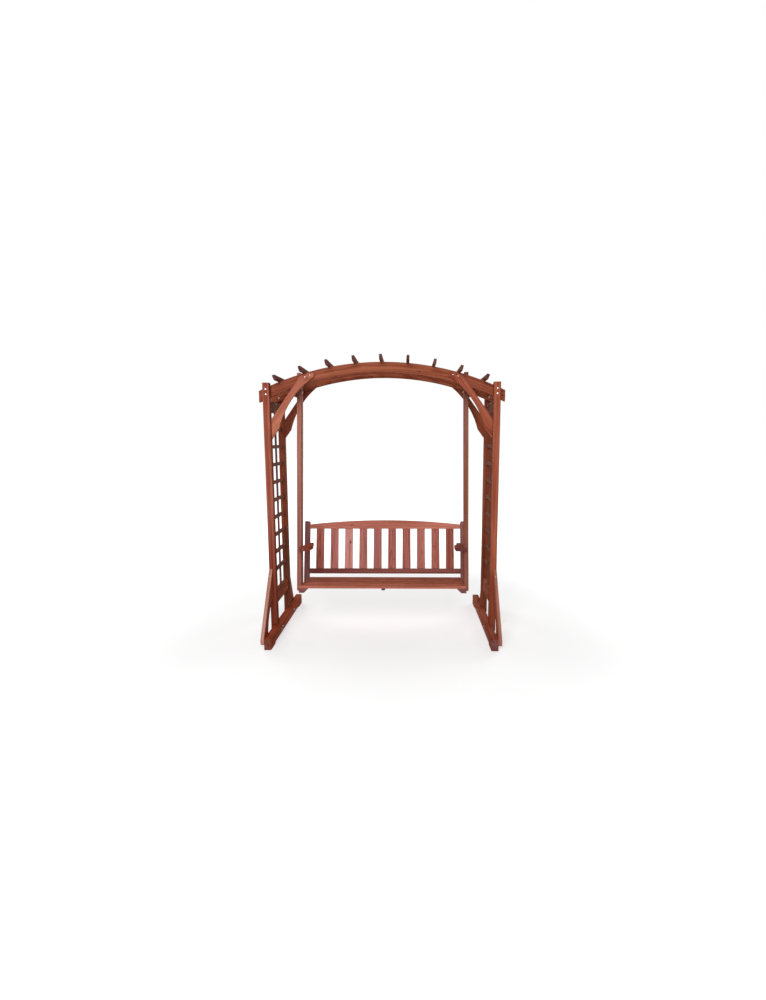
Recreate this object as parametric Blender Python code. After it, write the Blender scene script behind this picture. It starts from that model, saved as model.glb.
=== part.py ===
"""Arbor swing: an arched garden frame with trellis sides and a slatted bench hung in it on two wooden bars.

Units are metres. +Z is up, +X is to the right seen from the front, and +Y is towards the back.
The origin is on the ground, in the middle of the frame.
"""

import math

import bmesh
import bpy
from mathutils import Vector

# Clearances and edges shared by every board
JOINT_GAP = 0.0003
EDGE_EASE = 0.0025
CUT_OVERRUN = 0.010

# Frame: overall sizes
FRAME_WIDTH = 2.040
FRAME_DEPTH = 0.536
FOOT_LENGTH = 1.210
PURLIN_LENGTH = 0.690
ARCH_CROWN_HEIGHT = 2.431
ARCH_RADIUS = 2.480

# Frame: boards
POST_WIDTH = 0.058
POST_DEPTH = 0.058
POST_HORN = 0.018
POST_CHEEK = 0.030
POST_CHEEK_BOTTOM = 0.045
FOOT_THICKNESS = 0.060
FOOT_HEIGHT = 0.100
FOOT_PAD_LENGTH = 0.135
FOOT_PAD_HEIGHT = 0.015
BEAM_THICKNESS = 0.038
BEAM_DEPTH = 0.088
BEAM_END_OVERHANG = 0.048
PURLIN_THICKNESS = 0.024
PURLIN_HEIGHT = 0.044
SIDE_RAIL_THICKNESS = 0.030
LOWER_RAIL_BOTTOM = 0.273
LOWER_RAIL_HEIGHT = 0.125
UPPER_RAIL_HEIGHT = 0.098
UPPER_RAIL_HEAD_GAP = 0.016

# Frame: trellis between the posts of a side
RUNG_THICKNESS = 0.020
RUNG_HEIGHT = 0.030
RUNG_FIRST_RISE = 0.185
RUNG_LAST_DROP = 0.142
TRELLIS_SLAT_THICKNESS = 0.012
TRELLIS_SLAT_WIDTH = 0.030
TRELLIS_SLAT_TENON = 0.020

# Frame: knee braces between a post and a beam
KNEE_THICKNESS = 0.025
KNEE_WIDTH = 0.100
KNEE_REACH = 0.263
KNEE_POST_DROP = 0.196
KNEE_TOP_MARGIN = 0.015
KNEE_LOWER_STRAIGHT = 0.113
KNEE_SCALLOP_DEPTH = 0.050
KNEE_END_WIDTH = 0.147
KNEE_END_SLANT = 0.062
KNEE_END_ROUND = 0.020

# Frame: foot braces between a post and the end of a foot
FOOT_BRACE_THICKNESS = 0.0297
FOOT_BRACE_TOP = 0.618
FOOT_BRACE_NOSE = 0.092
FOOT_BRACE_REAR_SET_IN = 0.105
FOOT_BRACE_WIDTH = 0.125
FOOT_BRACE_SCALLOP_DEPTH = 0.042
FOOT_BRACE_SCALLOP_MARGIN = 0.035

# Pivots that the swing hangs from
HANGER_THICKNESS = 0.038
HANGER_DROP = 0.042
HANGER_TOP_MARGIN = 0.012
PIVOT_DROP = 0.028
PIVOT_RADIUS = 0.008
PIVOT_RUNNING_CLEARANCE = 0.0008
PIVOT_SIDE_PLAY = 0.0006
WASHER_RADIUS = 0.017
WASHER_THICKNESS = 0.0025
BOLT_HEAD_RADIUS = 0.0125
BOLT_HEAD_HEIGHT = 0.007
BOLT_NUT_HEIGHT = 0.010
BOLT_TAIL = 0.005

# Swing: the bars, and how the bench hangs on them
HANG_TILT = math.radians(7.5)
BAR_THICKNESS = 0.038
BAR_WIDTH = 0.089
BAR_HEAD = 0.170
BAR_INSIDE_BAY_MIDDLE = 0.0264
BAR_HOUSING = 0.016
BAR_SHORTFALL = 0.015
SEAT_HEIGHT_AT_BARS = 0.463

# Swing: seat
SEAT_DEPTH = 0.530
SEAT_FRONT_AHEAD_OF_BARS = 0.080
SEAT_SLAT_THICKNESS = 0.024
SEAT_SLAT_GAP = 0.0075
SEAT_RAIL_THICKNESS = 0.038
SEAT_RAIL_HEIGHT = 0.040
SEAT_RAIL_SET_BACK = 0.002
CORNER_BLOCK_WIDTH = 0.048
CORNER_BLOCK_SLANT = 0.040
CENTRE_RAIL_WIDTH = 0.032
CENTRE_RAIL_SET_BACK = 0.140

# Swing: back
BACK_RAKE = math.radians(5.0)
BACK_AHEAD_OF_SEAT_REAR = 0.062
BACK_ABOVE_SEAT = 0.043
BACK_POST_THICKNESS = 0.050
BACK_POST_DEPTH = 0.046
BACK_POST_TOP = 0.519
BACK_POST_TAIL = 0.107
BACK_POST_ROUND = 0.014
BACK_RAIL_THICKNESS = 0.023
BACK_RAIL_SET_BACK = 0.004
LOWER_BACK_RAIL_HEIGHT = 0.050
TOP_BACK_RAIL_BOTTOM = 0.443
TOP_BACK_RAIL_END_HEIGHT = 0.044
TOP_BACK_RAIL_CROWN = 0.042
BACK_SLAT_WIDTH = 0.079
BACK_SLAT_THICKNESS = 0.012

# Swing: arms
ARM_THICKNESS = 0.034
ARM_TOP_ABOVE_SEAT = 0.344
ARM_FRONT_AHEAD_OF_BARS = 0.090
ARM_FRONT_WIDTH = 0.094
ARM_MIDDLE_WIDTH = 0.086
ARM_REAR_WIDTH = 0.039
ARM_REAR_PAST_BACK = 0.022
ARM_CORNER_ROUND = 0.008

# Counts, and shares of the sizes that they follow
PURLIN_COUNT = 9
RUNG_COUNT = 9
SEAT_SLAT_COUNT = 5
BACK_SLAT_COUNT = 10
PURLIN_REACH_SHARE = 0.921
BACK_SLAT_PITCH_SHARE = 0.0955
ARM_MIDDLE_SHARE = 0.48
ARM_FLARE_SHARE = 0.64
ARM_FLARE_WIDTH_SHARE = 0.50
ARM_WAIST_SHARE = 0.82
ARCH_STEPS = 44
SCALLOP_STEPS = 12
RAIL_CROWN_STEPS = 16
CORNER_STEPS = 4
CURVE_STEPS = 5
BOLT_SIDES = 20
SIDES = {"left": -1, "right": 1}
ENDS = {"front": -1, "rear": 1}
SHARP_ANGLE = math.radians(30)

# Finish of the wood and the steel, as base colour, roughness and metallic value
FRAME_WOOD = ((0.300, 0.088, 0.052), 0.55, 0.0)
SWING_WOOD = ((0.330, 0.096, 0.058), 0.52, 0.0)
SLAT_WOOD = ((0.270, 0.074, 0.052), 0.55, 0.0)
BOLT_STEEL = ((0.620, 0.610, 0.590), 0.30, 1.0)

# Frame places worked out from the sizes above
POST_OUTER = FRAME_WIDTH / 2
POST_INNER = POST_OUTER - POST_WIDTH
POST_FRONT = FRAME_DEPTH / 2
POST_BACK = POST_FRONT - POST_DEPTH
FOOT_OUTER = POST_OUTER - POST_CHEEK
FOOT_INNER = FOOT_OUTER - FOOT_THICKNESS
ARCH_CENTRE = ARCH_CROWN_HEIGHT - ARCH_RADIUS
ARCH_INNER_RADIUS = ARCH_RADIUS - BEAM_DEPTH
BEAM_OUTER_FACE = POST_BACK - JOINT_GAP
BEAM_INNER_FACE = POST_BACK - BEAM_THICKNESS
BEAM_END = POST_OUTER + BEAM_END_OVERHANG
RAIL_MIDDLE = POST_OUTER - POST_WIDTH / 2
RAIL_OUTER = RAIL_MIDDLE + SIDE_RAIL_THICKNESS / 2


def arch_height(radius, x):
    """Height of a circle about the arch's centre at a distance x from the middle."""
    return ARCH_CENTRE + math.sqrt(radius ** 2 - x ** 2)


POST_TOP = arch_height(ARCH_RADIUS, POST_INNER) + POST_HORN
LOWER_RAIL_TOP = LOWER_RAIL_BOTTOM + LOWER_RAIL_HEIGHT
UPPER_RAIL_TOP = arch_height(ARCH_INNER_RADIUS, RAIL_OUTER) - UPPER_RAIL_HEAD_GAP
UPPER_RAIL_BOTTOM = UPPER_RAIL_TOP - UPPER_RAIL_HEIGHT

PURLIN_REACH = math.asin(PURLIN_REACH_SHARE * POST_INNER / ARCH_RADIUS)
PURLIN_TURN = 2 * PURLIN_REACH / (PURLIN_COUNT - 1)
OUTER_BAY_MIDDLE = ARCH_RADIUS * math.sin(PURLIN_REACH - PURLIN_TURN / 2)

# Swing places, in the bench's own frame: x, then v backwards and w upwards from the pivot
BAR_MIDDLE = OUTER_BAY_MIDDLE - BAR_INSIDE_BAY_MIDDLE
BAR_OUTER = BAR_MIDDLE + BAR_THICKNESS / 2
BAR_INNER = BAR_MIDDLE - BAR_THICKNESS / 2
PIVOT_HEIGHT = arch_height(ARCH_INNER_RADIUS, BAR_MIDDLE) - PIVOT_DROP
SEAT_TOP = -(PIVOT_HEIGHT - SEAT_HEIGHT_AT_BARS) / math.cos(HANG_TILT)
SEAT_UNDERSIDE = SEAT_TOP - SEAT_SLAT_THICKNESS
SEAT_RAIL_BOTTOM = SEAT_UNDERSIDE - SEAT_RAIL_HEIGHT
BAR_BOTTOM = SEAT_RAIL_BOTTOM + BAR_SHORTFALL
BAR_FRONT = -BAR_WIDTH / 2
SEAT_FRONT = -SEAT_FRONT_AHEAD_OF_BARS
SEAT_REAR = SEAT_FRONT + SEAT_DEPTH
BENCH_OUTER = BAR_INNER + BAR_HOUSING
BENCH_INNER = BENCH_OUTER - JOINT_GAP
BACK_FOOT_V = SEAT_REAR - BACK_AHEAD_OF_SEAT_REAR
BACK_FOOT_W = SEAT_TOP + BACK_ABOVE_SEAT
HANGER_INNER = BAR_OUTER + WASHER_THICKNESS + PIVOT_SIDE_PLAY + JOINT_GAP
HANGER_OUTER = HANGER_INNER + HANGER_THICKNESS


def clear_scene():
    """Take away whatever the file opened with."""
    for item in list(bpy.data.objects):
        bpy.data.objects.remove(item, do_unlink=True)


def finish_material(name, finish):
    """A Principled material with one board's colour, roughness and metallic value."""
    colour, roughness, metallic = finish
    material = bpy.data.materials.new(name)
    material.use_nodes = True
    shader = material.node_tree.nodes["Principled BSDF"]
    shader.inputs["Base Color"].default_value = (*colour, 1)
    shader.inputs["Roughness"].default_value = roughness
    shader.inputs["Metallic"].default_value = metallic
    return material


def add_object(name, mesh_data, finish, parent=None):
    """Put a mesh in the scene as a piece with its own material."""
    piece = bpy.data.objects.new(name, mesh_data)
    bpy.context.scene.collection.objects.link(piece)
    piece.data.materials.append(finish_material(name, finish))
    piece.parent = parent
    return piece


def ease_edges(mesh, width):
    """Take the sharpness off every outside corner, as sanding does."""
    corners = [
        edge for edge in mesh.edges
        if edge.is_manifold and edge.calc_face_angle_signed() > SHARP_ANGLE
    ]
    bmesh.ops.bevel(mesh, geom=corners, offset=width, segments=1, profile=0.5,
                    affect="EDGES", clamp_overlap=True)


def to_mesh(name, mesh):
    """Close a bmesh into mesh data with its faces pointing out."""
    bmesh.ops.recalc_face_normals(mesh, faces=mesh.faces[:])
    data = bpy.data.meshes.new(name)
    mesh.to_mesh(data)
    mesh.free()
    return data


def on_plane(plane, a, b, c):
    """The point with a and b in the named plane and c along its normal."""
    return {"xy": (a, b, c), "xz": (a, c, b), "yz": (c, a, b)}[plane]


def add_loft(mesh, low_outline, high_outline, low, high, plane):
    """Add the solid between two outlines with as many points each, at two places along the normal."""
    below = [mesh.verts.new(on_plane(plane, a, b, low)) for a, b in low_outline]
    above = [mesh.verts.new(on_plane(plane, a, b, high)) for a, b in high_outline]
    mesh.faces.new(below)
    mesh.faces.new(above)
    for index in range(len(below)):
        following = (index + 1) % len(below)
        mesh.faces.new((below[index], below[following], above[following], above[index]))


def loft(name, low_outline, high_outline, low, high, plane, finish, parent=None, ease=EDGE_EASE):
    """A board lofted between two outlines."""
    mesh = bmesh.new()
    add_loft(mesh, low_outline, high_outline, low, high, plane)
    bmesh.ops.recalc_face_normals(mesh, faces=mesh.faces[:])
    ease_edges(mesh, ease)
    return add_object(name, to_mesh(name, mesh), finish, parent)


def prism(name, outline, low, high, plane, finish, parent=None, ease=EDGE_EASE):
    """A board with one outline, from low to high along the plane's normal."""
    return loft(name, outline, outline, low, high, plane, finish, parent, ease)


def rectangle(low, high):
    """Corners of a rectangle, each given as a pair of places."""
    return [(low[0], low[1]), (high[0], low[1]), (high[0], high[1]), (low[0], high[1])]


def box(name, low, high, finish, parent=None, ease=EDGE_EASE):
    """A square-cut board between two opposite corners."""
    return prism(name, rectangle(low[:2], high[:2]), low[2], high[2], "xy", finish, parent, ease)


def mirrored(outline, side):
    """The outline with its first coordinate on the left or the right side."""
    return [(side * a, b) for a, b in outline]


def span(side, near, far):
    """The low and high ends of a stretch from near to far on one side of the middle."""
    return min(side * near, side * far), max(side * near, side * far)


def rounded_corner(before, corner, after, radius, steps=CORNER_STEPS):
    """Points of the arc that rounds one corner of an outline."""
    corner = Vector(corner)
    back = (Vector(before) - corner).normalized()
    ahead = (Vector(after) - corner).normalized()
    half = back.angle(ahead) / 2
    start = corner + back * radius / math.tan(half)
    end = corner + ahead * radius / math.tan(half)
    centre = corner + (back + ahead).normalized() * radius / math.sin(half)
    turn = math.pi - 2 * half
    points = []
    for step in range(steps + 1):
        share = step / steps
        weight_start = math.sin((1 - share) * turn) / math.sin(turn)
        weight_end = math.sin(share * turn) / math.sin(turn)
        points.append(tuple(centre + (start - centre) * weight_start + (end - centre) * weight_end))
    return points


def hollow_arc(start, end, depth, inwards, steps=SCALLOP_STEPS):
    """Points of a shallow arc from start to end that leans depth towards the inwards direction."""
    start = Vector(start)
    end = Vector(end)
    half_chord = (end - start).length / 2
    radius = (half_chord ** 2 + depth ** 2) / (2 * depth)
    points = []
    for step in range(steps + 1):
        along = half_chord * (2 * step / steps - 1)
        lean = math.sqrt(radius ** 2 - along ** 2) - (radius - depth)
        points.append(tuple(start.lerp(end, step / steps) + Vector(inwards) * lean))
    return points


def smooth_path(points, steps=CURVE_STEPS):
    """Points of a smooth curve that passes through the given points."""
    points = [Vector(point) for point in points]
    points = [2 * points[0] - points[1], *points, 2 * points[-1] - points[-2]]
    path = []
    for index in range(1, len(points) - 2):
        before, start, end, after = points[index - 1:index + 3]
        for step in range(steps):
            t = step / steps
            path.append(tuple(0.5 * (
                2 * start + (end - before) * t
                + (2 * before - 5 * start + 4 * end - after) * t ** 2
                + (3 * start - before - 3 * end + after) * t ** 3
            )))
    path.append(tuple(points[-2]))
    return path


def guide(name, mesh):
    """A shape that only cuts or joins: it isn't a piece of the swing."""
    helper = bpy.data.objects.new(name, to_mesh(name, mesh))
    bpy.context.scene.collection.objects.link(helper)
    helper.hide_render = True
    helper.display_type = "WIRE"
    return helper


def combine(piece, helper, operation):
    """Cut a helper from a piece, or join it on."""
    modifier = piece.modifiers.new(helper.name, "BOOLEAN")
    modifier.operation = operation
    modifier.object = helper
    modifier.solver = "EXACT"


def turned(name, profile, finish=None, parent=None):
    """A solid turned about the X axis from pairs of place and radius."""
    mesh = bmesh.new()
    rings = []
    for place, radius in profile:
        ring = []
        for step in range(BOLT_SIDES):
            angle = 2 * math.pi * step / BOLT_SIDES
            ring.append(mesh.verts.new((place, radius * math.cos(angle), radius * math.sin(angle))))
        rings.append(ring)
    mesh.faces.new(rings[0])
    mesh.faces.new(rings[-1])
    for ring, following in zip(rings, rings[1:]):
        for step in range(BOLT_SIDES):
            after = (step + 1) % BOLT_SIDES
            mesh.faces.new((ring[step], ring[after], following[after], following[step]))
    if finish is None:
        return guide(name, mesh)
    piece = add_object(name, to_mesh(name, mesh), finish, parent)
    piece.data.shade_smooth()
    piece.data.set_sharp_from_angle(angle=SHARP_ANGLE)
    return piece


def arch_outline(outer_radius, inner_radius, half_length):
    """Outline of a curved beam whose ends are cut upright."""
    top = []
    bottom = []
    for step in range(ARCH_STEPS + 1):
        x = half_length * (2 * step / ARCH_STEPS - 1)
        top.append((x, arch_height(outer_radius, x)))
        bottom.append((x, arch_height(inner_radius, x)))
    return top + bottom[::-1]


def build_feet():
    """Two feet that stand on a pad at each end."""
    half = FOOT_LENGTH / 2
    relief = half - FOOT_PAD_LENGTH
    outline = [
        (-half, 0), (-relief, 0), (-relief + FOOT_PAD_HEIGHT, FOOT_PAD_HEIGHT),
        (relief - FOOT_PAD_HEIGHT, FOOT_PAD_HEIGHT), (relief, 0), (half, 0),
        (half, FOOT_HEIGHT), (-half, FOOT_HEIGHT),
    ]
    for side_name, side in SIDES.items():
        low, high = span(side, FOOT_INNER, FOOT_OUTER)
        prism(f"foot_{side_name}", outline, low, high, "yz", FRAME_WOOD)


def build_posts():
    """Four posts, each standing on a foot with an outer cheek that laps the foot's side."""
    shoulder = FOOT_HEIGHT + JOINT_GAP
    cheek_inner = FOOT_OUTER + JOINT_GAP
    outline = [
        (POST_INNER, shoulder), (cheek_inner, shoulder), (cheek_inner, POST_CHEEK_BOTTOM),
        (POST_OUTER, POST_CHEEK_BOTTOM), (POST_OUTER, POST_TOP), (POST_INNER, POST_TOP),
    ]
    for side_name, side in SIDES.items():
        for end_name, end in ENDS.items():
            low, high = span(end, POST_BACK, POST_FRONT)
            prism(f"post_{end_name}_{side_name}", mirrored(outline, side), low, high, "xz", FRAME_WOOD)


def foot_brace_outline(set_in):
    """Outline of a foot brace that stops short of the foot's end, seen from the side."""
    top = Vector((POST_FRONT + JOINT_GAP, FOOT_BRACE_TOP))
    nose = Vector((FOOT_LENGTH / 2 - set_in, FOOT_BRACE_NOSE))
    along = (nose - top).normalized()
    inwards = Vector((along.y, -along.x))
    corner = top + inwards * FOOT_BRACE_WIDTH
    at_post = corner + along * (top.x - corner.x) / along.x
    at_bottom = corner + along * (POST_CHEEK_BOTTOM - corner.y) / along.y
    hollow_start = at_post + along * FOOT_BRACE_SCALLOP_MARGIN
    hollow_end = at_bottom - along * FOOT_BRACE_SCALLOP_MARGIN
    hollow = hollow_arc(hollow_end, hollow_start, FOOT_BRACE_SCALLOP_DEPTH, -inwards)
    return [tuple(top), tuple(nose), (nose.x, POST_CHEEK_BOTTOM), tuple(at_bottom), *hollow, tuple(at_post)]


def build_foot_braces():
    """Four braces that hold the posts upright on the feet, the rear ones steeper."""
    outlines = {"front": foot_brace_outline(0), "rear": foot_brace_outline(FOOT_BRACE_REAR_SET_IN)}
    for side_name, side in SIDES.items():
        for end_name, end in ENDS.items():
            low, high = span(side, POST_OUTER - FOOT_BRACE_THICKNESS, POST_OUTER)
            name = f"foot_brace_{end_name}_{side_name}"
            prism(name, mirrored(outlines[end_name], end), low, high, "yz", FRAME_WOOD)


def build_lower_side_rails():
    """A wide rail between the two posts of each side."""
    reach = POST_BACK - JOINT_GAP
    for side_name, side in SIDES.items():
        low, high = span(side, RAIL_OUTER - SIDE_RAIL_THICKNESS, RAIL_OUTER)
        box(f"lower_side_rail_{side_name}", (low, -reach, LOWER_RAIL_BOTTOM),
            (high, reach, LOWER_RAIL_TOP), FRAME_WOOD)


def build_trellises():
    """A trellis for each side: rungs housed on one upright slat, which hangs from the upper rail."""
    reach = POST_BACK - JOINT_GAP
    climb = UPPER_RAIL_BOTTOM - RUNG_LAST_DROP - LOWER_RAIL_TOP - RUNG_FIRST_RISE
    for side_name, side in SIDES.items():
        low, high = span(side, RAIL_OUTER - SIDE_RAIL_THICKNESS, RAIL_OUTER)
        trellis = box(f"trellis_{side_name}", (low, -reach, UPPER_RAIL_BOTTOM),
                      (high, reach, UPPER_RAIL_TOP), FRAME_WOOD)
        middle = side * RAIL_MIDDLE
        slat = bmesh.new()
        add_loft(slat,
                 *[rectangle((middle - TRELLIS_SLAT_THICKNESS / 2, -TRELLIS_SLAT_WIDTH / 2),
                             (middle + TRELLIS_SLAT_THICKNESS / 2, TRELLIS_SLAT_WIDTH / 2))] * 2,
                 LOWER_RAIL_TOP + JOINT_GAP, UPPER_RAIL_BOTTOM + TRELLIS_SLAT_TENON, "xy")
        combine(trellis, guide(f"guide_slat_{side_name}", slat), "UNION")
        rungs = bmesh.new()
        for index in range(RUNG_COUNT):
            height = LOWER_RAIL_TOP + RUNG_FIRST_RISE + climb * index / (RUNG_COUNT - 1)
            add_loft(rungs,
                     *[rectangle((-reach, height - RUNG_HEIGHT / 2), (reach, height + RUNG_HEIGHT / 2))] * 2,
                     middle - RUNG_THICKNESS / 2, middle + RUNG_THICKNESS / 2, "yz")
        combine(trellis, guide(f"guide_rungs_{side_name}", rungs), "UNION")


def build_beams():
    """Two arched beams, each bolted to the inner faces of two posts."""
    outline = arch_outline(ARCH_RADIUS, ARCH_INNER_RADIUS, BEAM_END)
    for end_name, end in ENDS.items():
        low, high = span(end, BEAM_INNER_FACE, BEAM_OUTER_FACE)
        prism(f"arch_beam_{end_name}", outline, low, high, "xz", FRAME_WOOD)


def knee_outline():
    """Outline of a right-hand knee brace, seen from the front."""
    face = POST_INNER - JOINT_GAP
    at_post = Vector((face, arch_height(ARCH_INNER_RADIUS, POST_INNER) - KNEE_POST_DROP))
    top_radius = ARCH_RADIUS - KNEE_TOP_MARGIN
    at_beam = Vector((face - KNEE_REACH, arch_height(top_radius, face - KNEE_REACH)))
    along = (at_beam - at_post).normalized()
    inwards = Vector((-along.y, along.x))
    corner = at_post + inwards * KNEE_WIDTH
    tip = corner + along * (face - corner.x) / along.x
    hollow_start = tip + along * KNEE_LOWER_STRAIGHT
    end_x = at_beam.x - KNEE_END_WIDTH
    shoulder = Vector((end_x, arch_height(top_radius, end_x)))
    hollow_end = corner + along * ((shoulder - corner).dot(along) - KNEE_END_SLANT)
    hollow = hollow_arc(hollow_start, hollow_end, KNEE_SCALLOP_DEPTH, -inwards)
    middle_x = (at_beam.x + end_x) / 2
    crown = (middle_x, arch_height(top_radius, middle_x))
    end = rounded_corner(hollow_end, shoulder, crown, KNEE_END_ROUND)
    return [tuple(at_post), tuple(tip), *hollow, *end, crown, tuple(at_beam)]


def build_knee_braces():
    """Four hollowed braces between a post's inner side and the face of a beam."""
    outline = knee_outline()
    for side_name, side in SIDES.items():
        for end_name, end in ENDS.items():
            low, high = span(end, POST_BACK, POST_BACK + KNEE_THICKNESS)
            prism(f"knee_brace_{end_name}_{side_name}", mirrored(outline, side), low, high, "xz", FRAME_WOOD)


def build_purlins():
    """Roof slats laid across the two beams, each square to the arch."""
    low_radius = ARCH_RADIUS + JOINT_GAP
    for index in range(PURLIN_COUNT):
        angle = PURLIN_TURN * index - PURLIN_REACH
        purlin = box(f"purlin_{index + 1}",
                     (-PURLIN_THICKNESS / 2, -PURLIN_LENGTH / 2, low_radius),
                     (PURLIN_THICKNESS / 2, PURLIN_LENGTH / 2, low_radius + PURLIN_HEIGHT), FRAME_WOOD)
        purlin.location = (0, 0, ARCH_CENTRE)
        purlin.rotation_euler = (0, angle, 0)


def build_hangers():
    """A hanger rail between the beams outside each bar, and the pivot bolt through rail and bar."""
    reach = BEAM_INNER_FACE - JOINT_GAP
    bottom = arch_height(ARCH_INNER_RADIUS, HANGER_OUTER) - HANGER_DROP
    top = arch_height(ARCH_RADIUS, HANGER_OUTER) - HANGER_TOP_MARGIN
    head = BAR_INNER - PIVOT_SIDE_PLAY - WASHER_THICKNESS
    tail = HANGER_OUTER + JOINT_GAP + WASHER_THICKNESS
    dome = BOLT_HEAD_HEIGHT / 2
    profile = [
        (head - BOLT_HEAD_HEIGHT, BOLT_HEAD_RADIUS / 2), (head - dome, BOLT_HEAD_RADIUS), (head, BOLT_HEAD_RADIUS),
        (head, WASHER_RADIUS), (head + WASHER_THICKNESS, WASHER_RADIUS), (head + WASHER_THICKNESS, PIVOT_RADIUS),
        (BAR_OUTER + PIVOT_SIDE_PLAY, PIVOT_RADIUS), (BAR_OUTER + PIVOT_SIDE_PLAY, WASHER_RADIUS),
        (HANGER_INNER - JOINT_GAP, WASHER_RADIUS), (HANGER_INNER - JOINT_GAP, PIVOT_RADIUS),
        (tail - WASHER_THICKNESS, PIVOT_RADIUS), (tail - WASHER_THICKNESS, WASHER_RADIUS), (tail, WASHER_RADIUS),
        (tail, BOLT_HEAD_RADIUS), (tail + BOLT_NUT_HEIGHT, BOLT_HEAD_RADIUS), (tail + BOLT_NUT_HEIGHT, PIVOT_RADIUS),
        (tail + BOLT_NUT_HEIGHT + BOLT_TAIL, PIVOT_RADIUS),
    ]
    hole = PIVOT_RADIUS + JOINT_GAP
    for side_name, side in SIDES.items():
        low, high = span(side, HANGER_INNER, HANGER_OUTER)
        hanger = box(f"hanger_rail_{side_name}", (low, -reach, bottom), (high, reach, top), FRAME_WOOD)
        ends = [(side * (HANGER_INNER - CUT_OVERRUN), hole), (side * (HANGER_OUTER + CUT_OVERRUN), hole)]
        drill = turned(f"guide_hanger_hole_{side_name}", ends)
        drill.location = (0, 0, PIVOT_HEIGHT)
        combine(hanger, drill, "DIFFERENCE")
        bolt = turned(f"pivot_bolt_{side_name}", mirrored(profile, side), BOLT_STEEL)
        bolt.location = (0, 0, PIVOT_HEIGHT)


def housed_edge(front, rear):
    """Right edge of a board of the bench from front to rear, stepped in around a hanging bar."""
    bar_front = BAR_FRONT - JOINT_GAP
    bar_rear = -bar_front
    stretches = [
        (front, bar_front, BENCH_INNER),
        (bar_front, bar_rear, BAR_INNER - JOINT_GAP),
        (bar_rear, rear, BENCH_INNER),
    ]
    points = []
    for start, end, x in stretches:
        start = max(start, front)
        end = min(end, rear)
        if start < end:
            points += [(x, start), (x, end)]
    return points


def build_bars(swing):
    """The two wooden bars that the bench hangs on, their heads between the two outer roof slats of each side."""
    hole = PIVOT_RADIUS + PIVOT_RUNNING_CLEARANCE
    for side_name, side in SIDES.items():
        low, high = span(side, BAR_INNER, BAR_OUTER)
        bar = box(f"hanging_bar_{side_name}", (low, -BAR_WIDTH / 2, BAR_BOTTOM),
                  (high, BAR_WIDTH / 2, BAR_HEAD), SWING_WOOD, swing)
        ends = [(side * (BAR_INNER - CUT_OVERRUN), hole), (side * (BAR_OUTER + CUT_OVERRUN), hole)]
        drill = turned(f"guide_bar_hole_{side_name}", ends)
        drill.parent = swing
        combine(bar, drill, "DIFFERENCE")


def build_seat(swing):
    """Seat slats on two side rails and a centre rail."""
    pitch = (SEAT_DEPTH + SEAT_SLAT_GAP) / SEAT_SLAT_COUNT
    for index in range(SEAT_SLAT_COUNT):
        front = SEAT_FRONT + pitch * index
        right = housed_edge(front, front + pitch - SEAT_SLAT_GAP)
        outline = right + mirrored(right, SIDES["left"])[::-1]
        prism(f"seat_slat_{index + 1}", outline, SEAT_UNDERSIDE, SEAT_TOP, "xy", SLAT_WOOD, swing)
    top = SEAT_UNDERSIDE - JOINT_GAP
    rail_front = SEAT_FRONT + SEAT_RAIL_SET_BACK
    rail_rear = SEAT_REAR - SEAT_RAIL_SET_BACK
    rail_inner = BENCH_INNER - SEAT_RAIL_THICKNESS
    block_rear = BAR_FRONT - JOINT_GAP
    for side_name, side in SIDES.items():
        plans = []
        for block in (CORNER_BLOCK_WIDTH - CORNER_BLOCK_SLANT, CORNER_BLOCK_WIDTH):
            plans.append(mirrored([
                *housed_edge(rail_front, rail_rear), (rail_inner, rail_rear), (rail_inner, block_rear),
                (rail_inner - block, block_rear), (rail_inner - block, rail_front),
            ], side))
        loft(f"seat_side_rail_{side_name}", *plans, SEAT_RAIL_BOTTOM, top, "xy", SWING_WOOD, swing)
    box("seat_centre_rail", (-CENTRE_RAIL_WIDTH / 2, SEAT_FRONT + CENTRE_RAIL_SET_BACK, SEAT_RAIL_BOTTOM),
        (CENTRE_RAIL_WIDTH / 2, rail_rear, top), SWING_WOOD, swing)


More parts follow.
